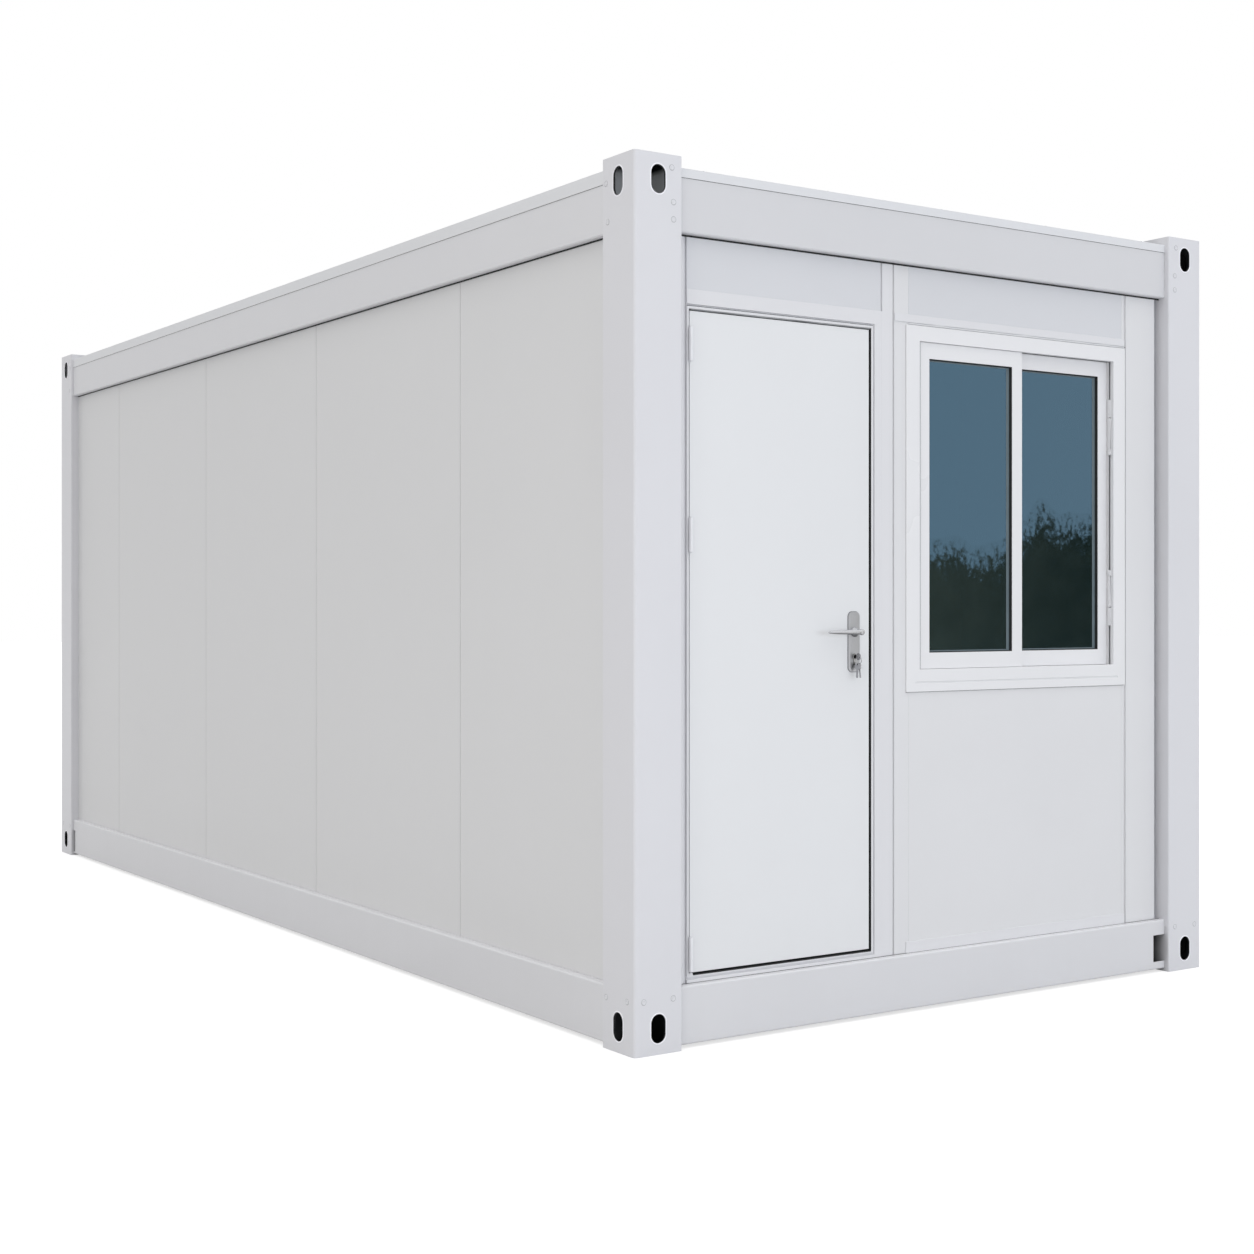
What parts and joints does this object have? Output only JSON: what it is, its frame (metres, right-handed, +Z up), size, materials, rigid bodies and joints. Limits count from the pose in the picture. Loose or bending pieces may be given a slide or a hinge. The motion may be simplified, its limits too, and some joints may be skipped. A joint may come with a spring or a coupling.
{
  "type": "knock-down container cabin",
  "caption": "Box-shaped site cabin with a bolted steel frame, sandwich-panel walls, a hinged outward-opening door with a lever handle and a sliding window in one short side.",
  "frame": {"origin": "on the ground under the middle of the cabin", "axes": "+Z up, -Y towards the short side with the door and the window, +Y along the length"},
  "size_m": [2.438, 5.385, 2.591],
  "materials": {
    "frame_paint": "satin",
    "panel_paint": "satin",
    "trim_paint": "satin",
    "door_paint": "satin",
    "window_paint": "gloss",
    "hinge_paint": "satin",
    "window_glass": "gloss",
    "catch_metal": "satin",
    "satin_nickel": "satin",
    "lock_brass": "satin",
    "key_steel": "satin",
    "galvanised_steel": "matte",
    "roof_steel": "satin",
    "ceiling_paint": "satin",
    "floor_board": "matte"
  },
  "bodies": {
    "cabin": {"post_front_left": "frame_paint", "post_front_right": "frame_paint", "post_rear_left": "frame_paint", "post_rear_right": "frame_paint", "base_fitting_front_left": "frame_paint", "base_fitting_front_right": "frame_paint", "base_fitting_rear_left": "frame_paint", "base_fitting_rear_right": "frame_paint", "roof_fitting_front_left": "frame_paint", "roof_fitting_front_right": "frame_paint", "roof_fitting_rear_left": "frame_paint", "roof_fitting_rear_right": "frame_paint", "floor_beam_front": "frame_paint", "floor_beam_rear": "frame_paint", "floor_beam_left": "frame_paint", "floor_beam_right": "frame_paint", "roof_beam_front": "frame_paint", "roof_beam_rear": "frame_paint", "roof_beam_left": "frame_paint", "roof_beam_right": "frame_paint", "roof_flashings": "frame_paint", "floor_joists": "galvanised_steel", "roof_joists": "galvanised_steel", "floor_deck": "floor_board", "roof_sheet": "roof_steel", "ceiling": "ceiling_paint", "left_wall": "panel_paint", "right_wall": "panel_paint", "rear_wall": "panel_paint", "front_edge_trim": "panel_paint", "door_header_panel": "panel_paint", "front_mullion": "panel_paint", "window_stile_panel": "panel_paint", "window_header_panel": "panel_paint", "window_lower_panel": "panel_paint", "front_side_panel": "panel_paint", "front_rails": "trim_paint", "door_frame": "trim_paint", "window_frame": "window_paint", "window_sashes": "window_paint", "window_panes": "window_glass", "window_catches": "catch_metal", "hinge_frame_sides": "hinge_paint"},
    "door": {"door_leaf": "door_paint", "hinge_leaf_sides": "hinge_paint", "handle_plates": "satin_nickel", "lock_cylinder": "lock_brass", "keys": "key_steel"},
    "lever": {"lever_handle": "satin_nickel"}
  },
  "joints": [
    {"name": "door_swing", "type": "hinge", "parent": "cabin", "child": "door", "pos_m": [-0.993, -2.655, 0.212], "axis": [0, 0, -1], "range_deg": [0, 110]},
    {"name": "lever_turn", "type": "hinge", "parent": "door", "child": "lever", "pos_m": [-0.3615, -2.6445, 1.208], "axis": [0, -1, 0], "range_deg": [0, 40], "stiffness_Nm_per_rad": 2, "springref_deg": -34.38}
  ]
}
